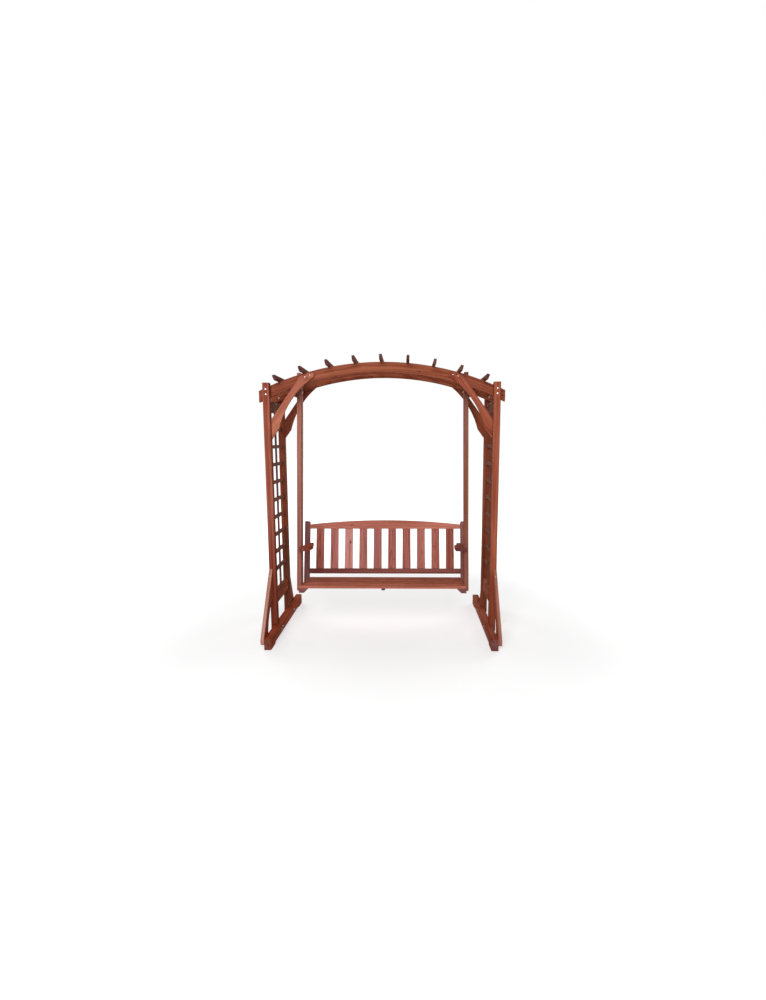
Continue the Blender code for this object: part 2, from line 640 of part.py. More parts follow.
def build_back(swing):
    """The raked back: two posts, two rails and the slats between them."""
    back = bpy.data.objects.new("back_rake", None)
    bpy.context.scene.collection.objects.link(back)
    back.parent = swing
    back.location = (0, BACK_FOOT_V, BACK_FOOT_W)
    back.rotation_euler = (-BACK_RAKE, 0, 0)
    outer = BENCH_OUTER + BACK_POST_THICKNESS
    post = [
        (outer, -BACK_POST_TAIL), (outer, BACK_POST_TOP),
        *rounded_corner((outer, BACK_POST_TOP), (BENCH_OUTER, BACK_POST_TOP), (BENCH_OUTER, -BACK_POST_TAIL),
                        BACK_POST_ROUND),
        (BENCH_OUTER, -BACK_POST_TAIL),
    ]
    for side_name, side in SIDES.items():
        prism(f"back_post_{side_name}", mirrored(post, side), 0, BACK_POST_DEPTH, "xz", SWING_WOOD, back)
    rail_rear = BACK_RAIL_SET_BACK + BACK_RAIL_THICKNESS
    box("back_rail_lower", (-BENCH_INNER, BACK_RAIL_SET_BACK, 0), (BENCH_INNER, rail_rear, LOWER_BACK_RAIL_HEIGHT),
        SLAT_WOOD, back)
    end_top = TOP_BACK_RAIL_BOTTOM + TOP_BACK_RAIL_END_HEIGHT
    crown = hollow_arc((BENCH_INNER, end_top), (-BENCH_INNER, end_top), TOP_BACK_RAIL_CROWN, (0, 1), RAIL_CROWN_STEPS)
    outline = [(-BENCH_INNER, TOP_BACK_RAIL_BOTTOM), (BENCH_INNER, TOP_BACK_RAIL_BOTTOM), *crown]
    prism("back_rail_top", outline, BACK_RAIL_SET_BACK, rail_rear, "xz", SWING_WOOD, back)
    slat_front = BACK_RAIL_SET_BACK + (BACK_RAIL_THICKNESS - BACK_SLAT_THICKNESS) / 2
    pitch = BACK_SLAT_PITCH_SHARE * 2 * BENCH_OUTER
    for index in range(BACK_SLAT_COUNT):
        low = pitch * (index - (BACK_SLAT_COUNT - 1) / 2) - BACK_SLAT_WIDTH / 2
        box(f"back_slat_{index + 1}", (low, slat_front, LOWER_BACK_RAIL_HEIGHT + JOINT_GAP),
            (low + BACK_SLAT_WIDTH, slat_front + BACK_SLAT_THICKNESS, TOP_BACK_RAIL_BOTTOM - JOINT_GAP),
            SLAT_WOOD, back)


def build_arms(swing):
    """Shaped arms, each housed around the front of a hanging bar and fixed inside a back post."""
    top = SEAT_TOP + ARM_TOP_ABOVE_SEAT
    front = -ARM_FRONT_AHEAD_OF_BARS
    rear = BACK_FOOT_V + (top - BACK_FOOT_W) * math.tan(BACK_RAKE) + ARM_REAR_PAST_BACK
    length = rear - front
    waist = BENCH_INNER - ARM_REAR_WIDTH
    middle = BENCH_INNER - ARM_MIDDLE_WIDTH
    flare = waist + ARM_FLARE_WIDTH_SHARE * (middle - waist)
    inner_front = (BENCH_INNER - ARM_FRONT_WIDTH, front)
    inner = smooth_path([
        (waist, front + ARM_WAIST_SHARE * length), (flare, front + ARM_FLARE_SHARE * length),
        (middle, front + ARM_MIDDLE_SHARE * length), inner_front,
    ])
    outer_front, *outer = housed_edge(front, rear)
    outline = [
        *rounded_corner(inner[-2], inner_front, outer_front, ARM_CORNER_ROUND),
        *rounded_corner(inner_front, outer_front, outer[0], ARM_CORNER_ROUND),
        *outer, (waist, rear), *inner[:-1],
    ]
    for side_name, side in SIDES.items():
        prism(f"arm_{side_name}", mirrored(outline, side), top - ARM_THICKNESS, top, "xy", SWING_WOOD, swing)


def build():
    """Build the whole arbor swing."""
    clear_scene()
    build_feet()
    build_posts()
    build_foot_braces()
    build_lower_side_rails()
    build_trellises()
    build_beams()
    build_knee_braces()
    build_purlins()
    build_hangers()
    swing = bpy.data.objects.new("swing_pivot", None)
    bpy.context.scene.collection.objects.link(swing)
    swing.location = (0, 0, PIVOT_HEIGHT)
    swing.rotation_euler = (-HANG_TILT, 0, 0)
    build_bars(swing)
    build_seat(swing)
    build_back(swing)
    build_arms(swing)
    bpy.context.view_layer.update()


build()
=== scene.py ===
"""Looks of the arbor swing.

Every board gets stained wood with a grain of its own. The bolts, nuts and screws, the light and the camera
are here too. Units are metres. +Z is up, +X is to the right seen from the front, and +Y is towards the back.
"""
import math
import random

import bmesh
import bpy
from mathutils import Matrix, Vector


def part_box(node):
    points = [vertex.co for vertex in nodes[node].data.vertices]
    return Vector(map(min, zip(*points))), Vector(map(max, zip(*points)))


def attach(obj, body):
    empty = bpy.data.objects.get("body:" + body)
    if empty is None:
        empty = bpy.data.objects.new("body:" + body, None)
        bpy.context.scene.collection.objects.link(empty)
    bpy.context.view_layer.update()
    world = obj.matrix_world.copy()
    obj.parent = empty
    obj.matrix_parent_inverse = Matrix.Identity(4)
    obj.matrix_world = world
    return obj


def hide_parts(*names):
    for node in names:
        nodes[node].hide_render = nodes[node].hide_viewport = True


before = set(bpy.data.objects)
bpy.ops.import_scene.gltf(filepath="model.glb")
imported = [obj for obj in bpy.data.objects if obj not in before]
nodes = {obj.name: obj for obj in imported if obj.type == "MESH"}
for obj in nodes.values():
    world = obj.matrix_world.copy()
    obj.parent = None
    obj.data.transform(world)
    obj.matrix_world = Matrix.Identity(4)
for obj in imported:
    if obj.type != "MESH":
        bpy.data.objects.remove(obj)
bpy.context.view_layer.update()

SIDES = {"left": -1, "right": 1}
ENDS = {"front": -1, "rear": 1}

# Arch: height of its centre, and the middle radius of a beam
ARCH_CENTRE = -0.049
BEAM_MIDDLE_RADIUS = 2.436
# Middle of the posts and of the side rails between them, from the middle of the arbor
POST_X = 0.991

# Trellis: half sizes of its upright slat, and the places of its rungs and its upper rail
SLAT_HALF_THICKNESS = 0.0068
SLAT_HALF_WIDTH = 0.0158
FIRST_RUNG = 0.583
RUNG_PITCH = 0.1603
UPPER_RAIL_INDEX = 9
# Where a face of the trellis turns level, and how far each rung lies from the last one in the grain
LEVEL_NORMAL = 0.5
RUNG_STEP_ALONG = 3.7
RUNG_STEP_ACROSS = 1.3

# Stain: the dark and the light end of each group of boards, before each board's own tone and its painted
# light and shade
FRAME_STAIN = ((0.215, 0.042, 0.019), (0.475, 0.148, 0.078))
BAR_STAIN = ((0.240, 0.070, 0.038), (0.520, 0.212, 0.138))
SLAT_STAIN = ((0.230, 0.056, 0.037), (0.500, 0.172, 0.118))
SEAT_STAIN = ((0.235, 0.056, 0.030), (0.480, 0.160, 0.096))
# Where the stain lies thin, the wood is paler and less red. Its dark end is a share of its light end
THIN_STAIN = (0.520, 0.275, 0.205)
THIN_DARK_SHARE = 0.55

# What a colour is multiplied by where it leans to purple, round a knot and on end grain
PURPLE_TINT = (0.90, 0.86, 1.28)
HALO_TINT = (0.72, 0.55, 0.50)
END_GRAIN_TINT = (0.60, 0.88, 1.62)
# What a colour is screened with on a rubbed edge, which on the seat slats is also a painted highlight, and
# the colour of a knot's core
RUBBED_AND_HIGHLIT_TINT = (0.46, 0.27, 0.19)
KNOT_COLOUR = (0.060, 0.018, 0.014, 1.0)

# Noises of the wood: changes in a metre along, across and through a board, then detail and roughness
WARP_NOISE = ((1.3, 7.0, 7.0), 2.0, 0.5)
FIBRE_NOISE = ((5.0, 480.0, 480.0), 3.0, 0.65)
STREAK_NOISE = ((1.0, 60.0, 60.0), 3.0, 0.6)
PATCH_NOISE = ((1.6, 11.0, 11.0), 2.0, 0.5)
DRIFT_NOISE = ((0.9, 5.0, 5.0), 1.0, 0.5)
PORE_NOISE = ((34.0, 1250.0, 1250.0), 1.0, 0.5)
RUBBED_NOISE = ((9.0, 40.0, 40.0), 3.0, 0.6)
DRIFT_OFFSET = (3.7, 1.9, 5.3)

# Growth rings: their width, how far they wander, and how uneven they are
RING_WIDTH = 0.0056
RING_WANDER = 0.030
RING_UNEVENNESS = 2.2

# Smooth steps: where each one starts and ends
LATE_WOOD_STARTS = (0.35, 0.92)
LATE_WOOD_ENDS = (1.0, 0.93)
KNOT_RIM = (1.0, 0.55)
PORE_RIM = (0.63, 0.72)
RUBBED_PATCHES = (0.40, 0.62)
END_GRAIN_NORMAL = (0.80, 0.97)
NARROW_SIDE_NORMAL = (0.55, 0.80)
# An eased edge slants by 45 degrees, and this is how far a normal may be from that
EASED_NORMAL = 0.707
EASED_RANGE = (0.24, 0.10)

# A knot's halo and core, as multiples of its size, how far the halo bends the grain, and their strengths
HALO_LENGTH = 2.8
HALO_WIDTH = 1.5
CORE_LENGTH = 1.9
HALO_BEND = 0.8
HALO_STRENGTH = 0.35
CORE_STRENGTH = 0.82

# A colour's place between dark and light: its middle, and what each part of the figure adds
MIDDLE_TONE = 0.56
STREAK_TONE = 1.9
FIBRE_TONE = 0.75
PATCH_TONE = 0.9
LATE_WOOD_TONE = -0.34
PORE_TONE = -0.22
DRIFT_PURPLE = 1.1

# Roughness and relief of the wood, and what each part of the figure adds to them
WOOD_ROUGHNESS = 0.68
FIBRE_ROUGHNESS = 0.22
PATCH_ROUGHNESS = 0.16
END_GRAIN_ROUGHNESS = 0.22
RUBBED_ROUGHNESS = 0.10
FIBRE_RELIEF = 0.55
LATE_WOOD_RELIEF = 0.30
PORE_RELIEF = -0.45
KNOT_RELIEF = -0.25
# Strength and distance of the bump
WOOD_BUMP = (0.55, 0.0007)
WOOD_SPECULAR = 0.03
# How much of the stain is rubbed off the eased edges. On the seat slats this is also a painted highlight
# along them
BOARD_WEAR = 0.16
SEAT_WEAR_AND_HIGHLIGHT = 0.45

# Random draws: a board's place in the grain, its pith's slope, side step and depth, and a plain board's tone
DRAW_SEED = 11
GRAIN_REACH = 40
PITH_SLOPE = 0.035
PITH_SIDE_STEP = 0.040
PITH_DEPTH = (0.030, 0.110)
PLAIN_TONE = (0.90, 1.05)
PLAIN_PURPLE = (0.00, 0.30)

# Finding a board's directions: what counts as one point, a real edge and a side that runs along the board
ONE_POINT = 1e-5
LEAST_EDGE_ANGLE = 0.2
SIDE_SLANT = 0.1


class Nodes:
    """Short calls that add shader nodes to one tree."""

    def __init__(self, tree):
        self.tree = tree

    def add(self, kind, values=(), **settings):
        """Add a node, set its properties and wire or set its inputs in order."""
        node = self.tree.nodes.new(kind)
        for name, value in settings.items():
            setattr(node, name, value)
        for socket, value in zip(node.inputs, values):
            self.wire(socket, value)
        return node

    def wire(self, socket, value):
        """Link a socket to another one, or set it to a plain value."""
        if isinstance(value, bpy.types.NodeSocket):
            self.tree.links.new(value, socket)
        else:
            socket.default_value = value

    def math(self, operation, *values, clamp=False):
        """One step of arithmetic on numbers."""
        return self.add("ShaderNodeMath", values, operation=operation, use_clamp=clamp).outputs[0]

    def times(self, first, second):
        """The product of two numbers."""
        return self.math("MULTIPLY", first, second)

    def total(self, *values, clamp=False):
        """The sum of some numbers, held between 0 and 1 if clamp is set."""
        result = values[0]
        for value in values[1:-1]:
            result = self.math("ADD", result, value)
        return self.math("ADD", result, values[-1], clamp=clamp)

    def centred(self, value, weight):
        """How far a noise is from its middle, times a weight."""
        return self.times(self.math("SUBTRACT", value, 0.5), weight)

    def vector(self, operation, *values):
        """One step of arithmetic on vectors."""
        node = self.add("ShaderNodeVectorMath", values, operation=operation)
        return node.outputs["Value" if operation == "LENGTH" else "Vector"]

    def split(self, vector):
        """The three parts of a vector."""
        return self.add("ShaderNodeSeparateXYZ", (vector,)).outputs

    def join(self, x, y, z):
        """A vector from its three parts."""
        return self.add("ShaderNodeCombineXYZ", (x, y, z)).outputs[0]

    def noise(self, position, stretch, detail, rough, output="Fac"):
        """Noise whose grains are one over stretch long in each direction."""
        node = self.add("ShaderNodeTexNoise")
        self.wire(node.inputs["Vector"], self.vector("MULTIPLY", position, stretch))
        self.wire(node.inputs["Scale"], 1.0)
        self.wire(node.inputs["Detail"], detail)
        self.wire(node.inputs["Roughness"], rough)
        return node.outputs[output]

    def step(self, value, low, high, to_low=0.0, to_high=1.0):
        """A smooth step from one value to another as the input passes from low to high."""
        node = self.add("ShaderNodeMapRange", (value, low, high, to_low, to_high))
        node.interpolation_type = "SMOOTHSTEP"
        return node.outputs[0]

    def mix(self, share, first, second, blend="MIX"):
        """Two colours mixed by a share. A Mix node's sockets go by number, because their names repeat."""
        node = self.add("ShaderNodeMix", data_type="RGBA", blend_type=blend)
        self.wire(node.inputs["Factor"], share)
        self.wire(node.inputs[6], first)
        self.wire(node.inputs[7], second)
        return node.outputs[2]

    def tinted(self, share, colour, tint, blend="MULTIPLY"):
        """A colour, mixed by a share with itself after it is multiplied by or screened with a tint."""
        return self.mix(share, colour, self.mix(1.0, colour, (*tint, 1.0), blend))

    def choose(self, share, first, second):
        """Two vectors mixed by a share."""
        node = self.add("ShaderNodeMix", data_type="VECTOR")
        self.wire(node.inputs["Factor"], share)
        self.wire(node.inputs[4], first)
        self.wire(node.inputs[5], second)
        return node.outputs[1]

    def bump(self, height, strength, distance):
        """A normal that a height tilts."""
        node = self.add("ShaderNodeBump")
        node.inputs["Strength"].default_value = strength
        node.inputs["Distance"].default_value = distance
        self.wire(node.inputs["Height"], height)
        return node.outputs["Normal"]


def new_group(name, inputs, outputs):
    """A shader group with named sockets: its nodes, and the sockets that its nodes take from and give to."""
    tree = bpy.data.node_groups.new(name, "ShaderNodeTree")
    for direction, kinds in {"INPUT": inputs, "OUTPUT": outputs}.items():
        for socket, kind in kinds.items():
            tree.interface.new_socket(socket, in_out=direction, socket_type="NodeSocket" + kind)
    g = Nodes(tree)
    return g, g.add("NodeGroupInput").outputs, g.add("NodeGroupOutput").inputs


def wood_group():
    """A shader group that turns a place in a board, along, across and through it, into stained wood, with
    painted light on narrow sides and painted shade low on posts where its inputs call for them.
    """
    inputs = {"Position": "Vector", "Normal": "Vector", "Seed": "Vector", "Pith": "Vector", "Knot": "Vector",
              "Dark": "Color", "Light": "Color", "Purple": "Float", "Wear And Highlight": "Float", "Edge Tone And Light": "Vector",
              "Low Shade": "Vector", "Low Span": "Vector"}
    outputs = {"Color": "Color", "Roughness": "Float", "Height": "Float"}
    g, given, made = new_group("stained_wood", inputs, outputs)
    along, across, through = g.split(given["Position"])
    seeded = g.vector("ADD", given["Position"], given["Seed"])

    # A knot: the grain flows round it, and its core is dark
    knot_u, knot_v, knot_size = g.split(given["Knot"])
    far_u = g.math("SUBTRACT", along, knot_u)
    far_v = g.math("SUBTRACT", across, knot_v)
    halo_u = g.math("DIVIDE", far_u, g.times(knot_size, HALO_LENGTH))
    halo_v = g.math("DIVIDE", far_v, g.times(knot_size, HALO_WIDTH))
    halo = g.math("EXPONENT", g.times(g.total(g.times(halo_u, halo_u), g.times(halo_v, halo_v)), -1.0))
    core_u = g.math("DIVIDE", far_u, g.times(knot_size, CORE_LENGTH))
    core_v = g.math("DIVIDE", far_v, knot_size)
    knot = g.step(g.vector("LENGTH", g.join(core_u, core_v, 0.0)), *KNOT_RIM)
    bent = g.math("SUBTRACT", across, g.times(far_v, g.times(halo, HALO_BEND)))

    # Growth rings about a pith that wanders along the board
    warp = g.vector("SUBTRACT", g.noise(seeded, *WARP_NOISE, output="Color"), (0.5, 0.5, 0.5))
    warp_u, warp_v, warp_w = g.split(warp)
    pith_slope, pith_v, pith_w = g.split(given["Pith"])
    ring_v = g.total(bent, pith_v, g.times(warp_v, RING_WANDER))
    ring_w = g.total(through, pith_w, g.times(warp_w, RING_WANDER), g.times(along, pith_slope))
    radius = g.vector("LENGTH", g.join(0.0, ring_v, ring_w))
    age = g.total(g.math("DIVIDE", radius, RING_WIDTH), g.times(warp_u, RING_UNEVENNESS))
    phase = g.math("FRACT", age)
    late = g.times(g.step(phase, *LATE_WOOD_STARTS), g.step(phase, *LATE_WOOD_ENDS))

    # Fibres, streaks and patches of stain
    flowing = g.vector("ADD", g.join(along, bent, through), given["Seed"])
    fibre = g.noise(flowing, *FIBRE_NOISE)
    streak = g.noise(flowing, *STREAK_NOISE)
    patch = g.noise(seeded, *PATCH_NOISE)
    drift = g.noise(g.vector("ADD", seeded, DRIFT_OFFSET), *DRIFT_NOISE)
    pore = g.step(g.noise(flowing, *PORE_NOISE), *PORE_RIM)
    tone = g.total(MIDDLE_TONE, g.centred(streak, STREAK_TONE), g.centred(fibre, FIBRE_TONE),
                   g.centred(patch, PATCH_TONE), g.times(late, LATE_WOOD_TONE), g.times(pore, PORE_TONE),
                   clamp=True)
    colour = g.mix(tone, given["Dark"], given["Light"])
    purple = g.total(given["Purple"], g.centred(drift, DRIFT_PURPLE), clamp=True)
    colour = g.tinted(purple, colour, PURPLE_TINT)
    colour = g.tinted(g.times(halo, HALO_STRENGTH), colour, HALO_TINT)
    colour = g.mix(g.times(knot, CORE_STRENGTH), colour, KNOT_COLOUR)

    # End grain drinks more stain, and the eased edges are rubbed thinner, which also paints a highlight on
    # them where the wear share is high
    normal_u, normal_v, normal_w = (g.math("ABSOLUTE", part) for part in g.split(given["Normal"]))
    end = g.step(normal_u, *END_GRAIN_NORMAL)
    colour = g.tinted(end, colour, END_GRAIN_TINT)
    eased = g.step(g.math("ABSOLUTE", g.math("SUBTRACT", normal_w, EASED_NORMAL)), *EASED_RANGE)
    rubbed_and_highlit = g.times(eased, g.step(g.noise(seeded, *RUBBED_NOISE), *RUBBED_PATCHES))
    colour = g.tinted(g.times(rubbed_and_highlit, given["Wear And Highlight"]), colour, RUBBED_AND_HIGHLIT_TINT, "SCREEN")

    # Painted light makes the narrow sides of some boards lighter, with a paler weathered edge on a foot
    # brace, and painted shade darkens some posts towards the ground
    narrow = g.step(normal_v, *NARROW_SIDE_NORMAL)
    colour = g.mix(narrow, colour, g.vector("MULTIPLY", colour, given["Edge Tone And Light"]))
    # Painted shade: some posts darken below a height, beside their foot braces near the ground
    low_from, low_to = g.split(given["Low Span"])[:2]
    low_shade_mask = g.step(along, low_from, low_to)
    colour = g.mix(low_shade_mask, colour, g.vector("MULTIPLY", colour, given["Low Shade"]))

    rough = g.total(WOOD_ROUGHNESS, g.centred(fibre, FIBRE_ROUGHNESS), g.centred(patch, PATCH_ROUGHNESS),
                    g.times(end, END_GRAIN_ROUGHNESS), g.times(rubbed_and_highlit, RUBBED_ROUGHNESS), clamp=True)
    height = g.total(g.times(fibre, FIBRE_RELIEF), g.times(late, LATE_WOOD_RELIEF),
                     g.times(pore, PORE_RELIEF), g.times(knot, KNOT_RELIEF))
    for name, value in {"Color": colour, "Roughness": rough, "Height": height}.items():
        g.wire(made[name], value)
    return g.tree


WOOD = wood_group()


def made_positive(direction):
    """A direction, turned round if its largest part is negative."""
    largest = max(range(3), key=lambda axis: abs(direction[axis]))
    return -direction if direction[largest] < 0 else direction


def main_directions(mesh):
    """Directions along a board and through its thickness, from its longest real edge and its widest side."""
    shape = bmesh.new()
    shape.from_mesh(mesh)
    bmesh.ops.remove_doubles(shape, verts=shape.verts[:], dist=ONE_POINT)
    corners = [edge for edge in shape.edges
               if len(edge.link_faces) == 2 and edge.calc_face_angle(0.0) > LEAST_EDGE_ANGLE]
    longest = max(corners, key=lambda edge: round(edge.calc_length(), 4))
    along = made_positive((longest.verts[1].co - longest.verts[0].co).normalized())
    areas = {}
    for face in shape.faces:
        if abs(face.normal.dot(along)) < SIDE_SLANT:
            key = tuple(round(abs(part), 1) for part in face.normal)
            area, normal = areas.get(key, (0.0, face.normal.copy()))
            areas[key] = (area + face.calc_area(), normal)
    through = max(areas.values(), key=lambda item: item[0])[1]
    shape.free()
    return along, made_positive((through - along * through.dot(along)).normalized())


def turn_to(along, through):
    """Rotation that takes a place in the room to a place along, across and through a board."""
    return Matrix((along, through.cross(along), through))


def mapped(g, source, turn, centre, kind="POINT"):
    """A mapping into a board's own directions, about its middle."""
    node = g.add("ShaderNodeMapping", vector_type=kind)
    g.wire(node.inputs["Vector"], source)
    node.inputs["Rotation"].default_value = turn.to_euler()
    if kind == "POINT":
        node.inputs["Location"].default_value = -(turn @ centre)
    return node.outputs[0]


def board_places(g, turn, centre):
    """Place and normal in a straight board."""
    room = g.add("ShaderNodeTexCoord").outputs
    return mapped(g, room["Object"], turn, centre), mapped(g, room["Normal"], turn, centre, "VECTOR")


def arch_places(g, middle_y):
    """Place and normal in a curved beam, whose grain follows the arch."""
    room = g.add("ShaderNodeTexCoord").outputs
    x, y, z = g.split(room["Object"])
    rise = g.math("SUBTRACT", z, ARCH_CENTRE)
    angle = g.math("ARCTAN2", x, rise)
    radius = g.vector("LENGTH", g.join(x, rise, 0.0))
    place = g.join(g.times(angle, BEAM_MIDDLE_RADIUS), g.math("SUBTRACT", radius, BEAM_MIDDLE_RADIUS),
                   g.math("SUBTRACT", y, middle_y))
    normal_x, normal_y, normal_z = g.split(room["Normal"])
    sine = g.math("SINE", angle)
    cosine = g.math("COSINE", angle)
    turned_u = g.math("SUBTRACT", g.times(normal_x, cosine), g.times(normal_z, sine))
    turned_v = g.total(g.times(normal_x, sine), g.times(normal_z, cosine))
    return place, g.join(turned_u, turned_v, normal_y)


def trellis_places(g, side, seed):
    """Place, normal and seed in a trellis: its slat runs upwards, its rungs and rail from front to back."""
    room = g.add("ShaderNodeTexCoord").outputs
    x, y, z = g.split(room["Object"])
    from_middle = g.math("SUBTRACT", x, side * POST_X)
    normal_x, normal_y, normal_z = g.split(room["Normal"])
    in_slat = g.math("LESS_THAN", g.math("ABSOLUTE", from_middle), SLAT_HALF_THICKNESS)
    in_slat = g.times(in_slat, g.math("LESS_THAN", g.math("ABSOLUTE", y), SLAT_HALF_WIDTH))
    in_slat = g.times(in_slat, g.math("LESS_THAN", g.math("ABSOLUTE", normal_z), LEVEL_NORMAL))
    place = g.choose(in_slat, g.join(y, z, from_middle), g.join(z, y, from_middle))
    normal = g.choose(in_slat, g.join(normal_y, normal_z, normal_x), g.join(normal_z, normal_y, normal_x))
    rung = g.math("ROUND", g.math("DIVIDE", g.math("SUBTRACT", z, FIRST_RUNG), RUNG_PITCH))
    rung = g.math("MINIMUM", rung, UPPER_RAIL_INDEX)
    strip = g.times(rung, g.math("SUBTRACT", 1.0, in_slat))
    shift = g.join(g.times(strip, RUNG_STEP_ALONG), g.times(strip, RUNG_STEP_ACROSS), 0.0)
    return place, normal, g.vector("ADD", tuple(seed), shift)


# Knots: place along and across a board from its middle, and half their width. NO_KNOT lies outside any board
NO_KNOT = (90.0, 90.0, 0.01)
KNOTS = {
    "back_slat_3": (0.064, 0.015, 0.0105),
    "back_slat_6": (-0.105, 0.020, 0.0050),
    "back_slat_9": (0.020, -0.018, 0.0045),
    "arch_beam_front": (0.330, -0.018, 0.0060),
    "arch_beam_rear": (-0.420, 0.020, 0.0070),
    "post_front_left": (-0.250, 0.010, 0.0060),
    "post_rear_right": (0.310, -0.008, 0.0065),
    "seat_slat_2": (-0.260, 0.015, 0.0070),
    "seat_slat_4": (0.410, -0.022, 0.0060),
    "back_rail_top": (-0.330, 0.004, 0.0055),
    "foot_brace_rear_left": (0.060, 0.010, 0.0070),
    "knee_brace_front_right": (-0.070, 0.012, 0.0050),
    "lower_side_rail_left": (0.060, 0.020, 0.0070),
}
# What the colour of a board's narrow sides is multiplied by: painted light where a narrow face catches the
# lamp and the wide faces lie in shade, and on the left front foot brace also a paler weathered edge
PLAIN_EDGE = (1.0, 1.0, 1.0)
EDGE_TONES_AND_LIGHT = {
    "seat_slat_1": (0.90, 0.98, 1.20),
    "foot_brace_front_left": (1.55, 2.70, 3.60), "foot_brace_front_right": (1.12, 1.50, 1.95),
    "post_front_left": (1.28, 1.42, 1.70), "post_front_right": (1.30, 1.32, 1.38),
}
# Heights between which a post turns darker with painted shade, where it stands beside a foot brace near the
# ground, and what its colour is multiplied by below them. For the other boards the heights are far
# underground
PLAIN_LOW = (-8.0, -9.0, (1.0, 1.0, 1.0))
LOW_SHADE_TONES = {
    "post_front_left": (1.25, 0.55, (0.62, 0.42, 0.32)), "post_front_right": (0.64, 0.52, (0.74, 0.60, 0.52)),
    "post_rear_left": (0.95, 0.80, (0.64, 0.72, 0.80)), "post_rear_right": (0.90, 0.60, (0.86, 0.84, 0.84)),
}
# Where in the grain a board lies, for one whose light and dark stretches the photograph shows
GRAIN_PLACES = {"arch_beam_front": (31.73, 32.88, 19.4)}
# Tones that the photograph shows on single boards: brightness, lean towards purple, and share of thin stain.
# Besides each board's own tone they hold painted shade on boards that sit in shade, such as the hanger rails
# and the seat's back posts, and on shaded faces such as the feet and lower side rails, and painted light on
# the raked back slats and the top rail
BOARD_TONES_AND_PAINTED_LIGHT = {
    "arch_beam_front": (0.88, 0.05, 0.0), "arch_beam_rear": (0.96, 0.00, -0.03),
    "arm_left": (0.93, 0.30, -0.48), "arm_right": (0.695, 0.50, -0.30),
    "back_post_left": (0.68, 0.90, 0.45), "back_post_right": (0.91, 0.50, 0.38),
    "back_rail_lower": (0.70, 0.40, 0.05), "back_rail_top": (1.56, 0.28, 0.18),
    "back_slat_1": (1.16, 0.15, 0.0), "back_slat_2": (1.30, 0.40, 0.2), "back_slat_3": (1.86, 0.40, 0.52),
    "back_slat_4": (1.42, 0.35, 0.28), "back_slat_5": (1.31, 0.48, 0.22), "back_slat_6": (1.28, 0.32, 0.06),
    "back_slat_7": (1.20, 0.30, 0.05), "back_slat_8": (1.45, 0.35, 0.18), "back_slat_9": (1.20, 0.20, 0.06),
    "back_slat_10": (1.06, 0.10, -0.05),
    "foot_brace_front_left": (0.98, 0.20, 0.0),
    "foot_left": (1.02, 0.00, -0.20), "foot_right": (0.96, 0.25, -0.1),
    "hanger_rail_left": (0.60, 0.10, 0.0), "hanger_rail_right": (0.50, 0.20, 0.0),
    "hanging_bar_left": (1.04, 0.30, 0.09), "hanging_bar_right": (0.74, 0.25, 0.0),
    "knee_brace_front_left": (1.24, 0.30, 0.18), "knee_brace_front_right": (1.01, 0.40, -0.05),
    "knee_brace_rear_right": (0.90, 0.00, -0.05), "lower_side_rail_left": (0.86, 0.00, -0.15),
    "post_front_left": (0.88, 0.15, 0.0), "post_front_right": (0.84, 0.02, -0.03),
    "post_rear_left": (0.80, 0.00, -0.06), "post_rear_right": (0.80, 0.00, -0.06),
    "purlin_1": (0.50, 0.10, 0.05), "purlin_2": (0.52, 0.10, 0.05), "purlin_3": (0.56, 0.10, 0.05),
    "purlin_4": (0.54, 0.10, 0.05), "purlin_5": (0.58, 0.10, 0.05), "purlin_6": (0.50, 0.10, 0.05),
    "purlin_7": (0.62, 0.10, 0.05), "purlin_8": (0.58, 0.10, 0.05), "purlin_9": (0.50, 0.10, 0.05),
    "seat_slat_1": (1.46, 0.00, -0.08), "seat_slat_2": (1.34, 0.00, -0.08),
    "seat_slat_3": (0.98, 0.05, -0.08), "seat_slat_4": (1.19, 0.00, -0.08),
    "seat_slat_5": (0.94, 0.15, -0.08),
    "seat_side_rail_left": (1.04, 0.00, -0.1), "seat_side_rail_right": (1.04, 0.00, -0.1),
    "trellis_left": (0.535, 0.10, 0.50), "trellis_right": (0.58, 0.15, 0.35),
}


def stain_for(name):
    """The stain that a board's group has."""
    if name.startswith("hanging_bar"):
        return BAR_STAIN
    if name.startswith(("back_slat", "back_rail_lower")):
        return SLAT_STAIN
    if name.startswith(("seat_", "arm_", "back_")):
        return SEAT_STAIN
    return FRAME_STAIN


def board_colour(stain, tone, thin, thin_share=1.0):
    """One end of a board's stain, moved towards a share of thin stain and brought to the board's tone, which
    on some boards also holds painted light and shade.
    """
    moved = [part + thin * (thin_share * pale - part) for part, pale in zip(stain, THIN_STAIN)]
    return (*(tone * part for part in moved), 1.0)


def new_material(name):
    """A material, its Principled BSDF and its nodes."""
    material = bpy.data.materials.new(name)
    material.use_nodes = True
    return material, material.node_tree.nodes["Principled BSDF"], Nodes(material.node_tree)


